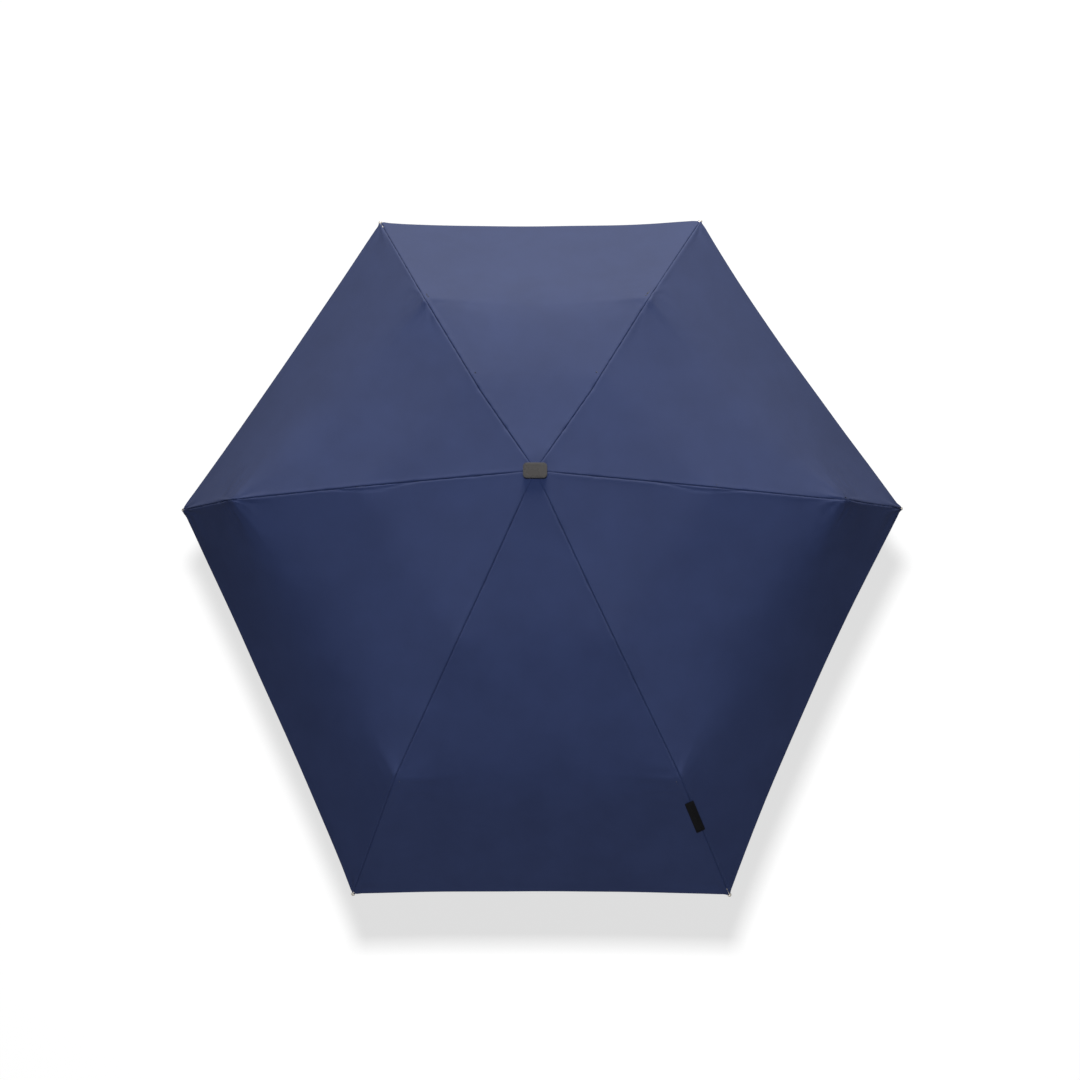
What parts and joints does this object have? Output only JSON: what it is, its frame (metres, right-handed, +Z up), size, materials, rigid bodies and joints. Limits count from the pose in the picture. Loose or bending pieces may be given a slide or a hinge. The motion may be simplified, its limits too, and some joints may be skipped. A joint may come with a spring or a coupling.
{
  "type": "folding umbrella",
  "caption": "Manual folding umbrella, open: off-centre six-rib storm canopy with three-part folding ribs, runner, telescopic shaft and straight handle.",
  "frame": {"origin": "centre of the flat underside of the handle", "axes": "+Z up the shaft to the cap, +Y towards the short front of the canopy, +X to the right seen from behind"},
  "size_m": [0.8762, 0.8173, 0.5624],
  "materials": {
    "canopy_fabric": "plain woven polyester, water repellent",
    "label_weave": "woven ribbon",
    "rib_metal": "black anodised",
    "rib_rod": "pultruded glass fibre rod",
    "stretcher_metal": "black enamel",
    "tip_metal": "plated",
    "shaft_metal": "black enamel",
    "wire_steel": "drawn",
    "grip_rubber": "soft touch",
    "cap_finish": "satin, gunmetal",
    "button_plastic": "satin",
    "black_plastic": "satin"
  },
  "bodies": {
    "handle": {"handle_grip": "grip_rubber", "handle_core": "black_plastic", "handle_base_cap": "black_plastic", "lower_tube": "shaft_metal"},
    "mid_tube": {"mid_tube": "shaft_metal"},
    "top_tube": {"top_tube": "shaft_metal", "crown": "black_plastic", "crown_wire": "wire_steel", "cap": "cap_finish", "canopy_front": "canopy_fabric", "canopy_front_right": "canopy_fabric", "canopy_rear_right": "canopy_fabric", "canopy_rear": "canopy_fabric", "canopy_rear_left": "canopy_fabric", "canopy_front_left": "canopy_fabric"},
    "runner": {"runner": "black_plastic", "runner_wire": "wire_steel", "button_spring": "wire_steel"},
    "runner_button": {"runner_button": "button_plastic"},
    "inner_rib_front_left": {"inner_rib_front_left": "rib_metal"},
    "middle_rib_front_left": {"middle_rib_front_left": "rib_metal"},
    "outer_rib_front_left": {"outer_rib_front_left": "rib_rod", "rib_tip_front_left": "tip_metal"},
    "stretcher_front_left": {"stretcher_front_left": "stretcher_metal"},
    "inner_rib_front_right": {"inner_rib_front_right": "rib_metal"},
    "middle_rib_front_right": {"middle_rib_front_right": "rib_metal"},
    "outer_rib_front_right": {"outer_rib_front_right": "rib_rod", "rib_tip_front_right": "tip_metal"},
    "stretcher_front_right": {"stretcher_front_right": "stretcher_metal"},
    "inner_rib_side_right": {"inner_rib_side_right": "rib_metal"},
    "middle_rib_side_right": {"middle_rib_side_right": "rib_metal"},
    "outer_rib_side_right": {"outer_rib_side_right": "rib_rod", "rib_tip_side_right": "tip_metal"},
    "stretcher_side_right": {"stretcher_side_right": "stretcher_metal"},
    "inner_rib_rear_right": {"inner_rib_rear_right": "rib_metal"},
    "middle_rib_rear_right": {"middle_rib_rear_right": "rib_metal"},
    "outer_rib_rear_right": {"outer_rib_rear_right": "rib_rod", "rib_tip_rear_right": "tip_metal", "label_tab": "label_weave"},
    "stretcher_rear_right": {"stretcher_rear_right": "stretcher_metal"},
    "inner_rib_rear_left": {"inner_rib_rear_left": "rib_metal"},
    "middle_rib_rear_left": {"middle_rib_rear_left": "rib_metal"},
    "outer_rib_rear_left": {"outer_rib_rear_left": "rib_rod", "rib_tip_rear_left": "tip_metal"},
    "stretcher_rear_left": {"stretcher_rear_left": "stretcher_metal"},
    "inner_rib_side_left": {"inner_rib_side_left": "rib_metal"},
    "middle_rib_side_left": {"middle_rib_side_left": "rib_metal"},
    "outer_rib_side_left": {"outer_rib_side_left": "rib_rod", "rib_tip_side_left": "tip_metal"},
    "stretcher_side_left": {"stretcher_side_left": "stretcher_metal"}
  },
  "joints": [
    {"name": "shaft_mid_slide", "type": "slide", "parent": "handle", "child": "mid_tube", "axis": [0, 0, -1], "range_m": [0, 0.14]},
    {"name": "shaft_top_slide", "type": "slide", "parent": "mid_tube", "child": "top_tube", "axis": [0, 0, -1], "range_m": [0, 0.14]},
    {"name": "runner_slide", "type": "slide", "parent": "top_tube", "child": "runner", "axis": [0, 0, -1], "range_m": [0, 0.103], "deforming": ["canopy_front", "canopy_front_right", "canopy_rear_right", "canopy_rear", "canopy_rear_left", "canopy_front_left"]},
    {"name": "button_press", "type": "slide", "parent": "runner", "child": "runner_button", "axis": [0, 1, 0], "range_m": [0, 0.0015], "stiffness_N_per_m": 300, "springref_m": -0.0005},
    {"name": "inner_front_left", "type": "hinge", "parent": "top_tube", "child": "inner_rib_front_left", "pos_m": [-0.00578, 0.00936, 0.552], "axis": [-0.8508, -0.5255, 0], "range_deg": [0, 78.85]},
    {"name": "middle_front_left", "type": "hinge", "parent": "inner_rib_front_left", "child": "middle_rib_front_left", "pos_m": [-0.07087, 0.11476, 0.53521], "axis": [0.8508, 0.5255, 0], "range_deg": [0, 183.55]},
    {"name": "outer_front_left", "type": "hinge", "parent": "middle_rib_front_left", "child": "outer_rib_front_left", "pos_m": [-0.1274, 0.20628, 0.50347], "axis": [-0.8508, -0.5255, 0], "range_deg": [0, 152.65]},
    {"name": "stretcher_front_left", "type": "hinge", "parent": "runner", "child": "stretcher_front_left", "pos_m": [-0.00709, 0.01149, 0.467], "axis": [0.8508, 0.5255, 0], "range_deg": [0, 46.22]},
    {"name": "inner_front_right", "type": "hinge", "parent": "top_tube", "child": "inner_rib_front_right", "pos_m": [0.00578, 0.00936, 0.552], "axis": [-0.8508, 0.5255, 0], "range_deg": [0, 78.85]},
    {"name": "middle_front_right", "type": "hinge", "parent": "inner_rib_front_right", "child": "middle_rib_front_right", "pos_m": [0.07087, 0.11476, 0.53521], "axis": [0.8508, -0.5255, 0], "range_deg": [0, 183.55]},
    {"name": "outer_front_right", "type": "hinge", "parent": "middle_rib_front_right", "child": "outer_rib_front_right", "pos_m": [0.1274, 0.20628, 0.50347], "axis": [-0.8508, 0.5255, 0], "range_deg": [0, 152.65]},
    {"name": "stretcher_front_right", "type": "hinge", "parent": "runner", "child": "stretcher_front_right", "pos_m": [0.00709, 0.01149, 0.467], "axis": [0.8508, -0.5255, 0], "range_deg": [0, 46.22]},
    {"name": "inner_side_right", "type": "hinge", "parent": "top_tube", "child": "inner_rib_side_right", "pos_m": [0.01097, -0.00084, 0.552], "axis": [0.0767, 0.9971, 0], "range_deg": [0, 78.85]},
    {"name": "middle_side_right", "type": "hinge", "parent": "inner_rib_side_right", "child": "middle_rib_side_right", "pos_m": [0.20844, -0.01604, 0.52412], "axis": [-0.0767, -0.9971, 0], "range_deg": [0, 186.15]},
    {"name": "outer_side_right", "type": "hinge", "parent": "middle_rib_side_right", "child": "outer_rib_side_right", "pos_m": [0.35917, -0.02764, 0.47347], "axis": [0.0767, 0.9971, 0], "range_deg": [0, 142.85]},
    {"name": "stretcher_side_right", "type": "hinge", "parent": "runner", "child": "stretcher_side_right", "pos_m": [0.01346, -0.00104, 0.467], "axis": [-0.0767, -0.9971, 0], "range_deg": [0, 46.22]},
    {"name": "inner_rear_right", "type": "hinge", "parent": "top_tube", "child": "inner_rib_rear_right", "pos_m": [0.00456, -0.01001, 0.552], "axis": [0.91, 0.4147, 0], "range_deg": [0, 78.85]},
    {"name": "middle_rear_right", "type": "hinge", "parent": "inner_rib_rear_right", "child": "middle_rib_rear_right", "pos_m": [0.08874, -0.19473, 0.52338], "axis": [-0.91, -0.4147, 0], "range_deg": [0, 184.35]},
    {"name": "outer_rear_right", "type": "hinge", "parent": "middle_rib_rear_right", "child": "outer_rib_rear_right", "pos_m": [0.16273, -0.35709, 0.47037], "axis": [0.91, 0.4147, 0], "range_deg": [0, 160.05]},
    {"name": "stretcher_rear_right", "type": "hinge", "parent": "runner", "child": "stretcher_rear_right", "pos_m": [0.0056, -0.01228, 0.467], "axis": [-0.91, -0.4147, 0], "range_deg": [0, 46.22]},
    {"name": "inner_rear_left", "type": "hinge", "parent": "top_tube", "child": "inner_rib_rear_left", "pos_m": [-0.00456, -0.01001, 0.552], "axis": [0.91, -0.4147, 0], "range_deg": [0, 78.85]},
    {"name": "middle_rear_left", "type": "hinge", "parent": "inner_rib_rear_left", "child": "middle_rib_rear_left", "pos_m": [-0.08874, -0.19473, 0.52338], "axis": [-0.91, 0.4147, 0], "range_deg": [0, 184.35]},
    {"name": "outer_rear_left", "type": "hinge", "parent": "middle_rib_rear_left", "child": "outer_rib_rear_left", "pos_m": [-0.16273, -0.35709, 0.47037], "axis": [0.91, -0.4147, 0], "range_deg": [0, 160.05]},
    {"name": "stretcher_rear_left", "type": "hinge", "parent": "runner", "child": "stretcher_rear_left", "pos_m": [-0.0056, -0.01228, 0.467], "axis": [-0.91, 0.4147, 0], "range_deg": [0, 46.22]},
    {"name": "inner_side_left", "type": "hinge", "parent": "top_tube", "child": "inner_rib_side_left", "pos_m": [-0.01097, -0.00084, 0.552], "axis": [0.0767, -0.9971, 0], "range_deg": [0, 78.85]},
    {"name": "middle_side_left", "type": "hinge", "parent": "inner_rib_side_left", "child": "middle_rib_side_left", "pos_m": [-0.20844, -0.01604, 0.52412], "axis": [-0.0767, 0.9971, 0], "range_deg": [0, 186.15]},
    {"name": "outer_side_left", "type": "hinge", "parent": "middle_rib_side_left", "child": "outer_rib_side_left", "pos_m": [-0.35917, -0.02764, 0.47347], "axis": [0.0767, -0.9971, 0], "range_deg": [0, 142.85]},
    {"name": "stretcher_side_left", "type": "hinge", "parent": "runner", "child": "stretcher_side_left", "pos_m": [-0.01346, -0.00104, 0.467], "axis": [-0.0767, 0.9971, 0], "range_deg": [0, 46.22]}
  ],
  "couplings": [
    {"joint": "inner_front_left", "follows": "runner_slide", "rad_per_m": 13.353},
    {"joint": "middle_front_left", "follows": "runner_slide", "rad_per_m": 31.094},
    {"joint": "outer_front_left", "follows": "runner_slide", "rad_per_m": 25.858},
    {"joint": "stretcher_front_left", "follows": "runner_slide", "rad_per_m": 7.8229},
    {"joint": "inner_front_right", "follows": "runner_slide", "rad_per_m": 13.353},
    {"joint": "middle_front_right", "follows": "runner_slide", "rad_per_m": 31.094},
    {"joint": "outer_front_right", "follows": "runner_slide", "rad_per_m": 25.858},
    {"joint": "stretcher_front_right", "follows": "runner_slide", "rad_per_m": 7.8229},
    {"joint": "inner_side_right", "follows": "runner_slide", "rad_per_m": 13.353},
    {"joint": "middle_side_right", "follows": "runner_slide", "rad_per_m": 31.535},
    {"joint": "outer_side_right", "follows": "runner_slide", "rad_per_m": 24.197},
    {"joint": "stretcher_side_right", "follows": "runner_slide", "rad_per_m": 7.8229},
    {"joint": "inner_rear_right", "follows": "runner_slide", "rad_per_m": 13.353},
    {"joint": "middle_rear_right", "follows": "runner_slide", "rad_per_m": 31.23},
    {"joint": "outer_rear_right", "follows": "runner_slide", "rad_per_m": 27.112},
    {"joint": "stretcher_rear_right", "follows": "runner_slide", "rad_per_m": 7.8229},
    {"joint": "inner_rear_left", "follows": "runner_slide", "rad_per_m": 13.353},
    {"joint": "middle_rear_left", "follows": "runner_slide", "rad_per_m": 31.23},
    {"joint": "outer_rear_left", "follows": "runner_slide", "rad_per_m": 27.112},
    {"joint": "stretcher_rear_left", "follows": "runner_slide", "rad_per_m": 7.8229},
    {"joint": "inner_side_left", "follows": "runner_slide", "rad_per_m": 13.353},
    {"joint": "middle_side_left", "follows": "runner_slide", "rad_per_m": 31.535},
    {"joint": "outer_side_left", "follows": "runner_slide", "rad_per_m": 24.197},
    {"joint": "stretcher_side_left", "follows": "runner_slide", "rad_per_m": 7.8229}
  ]
}
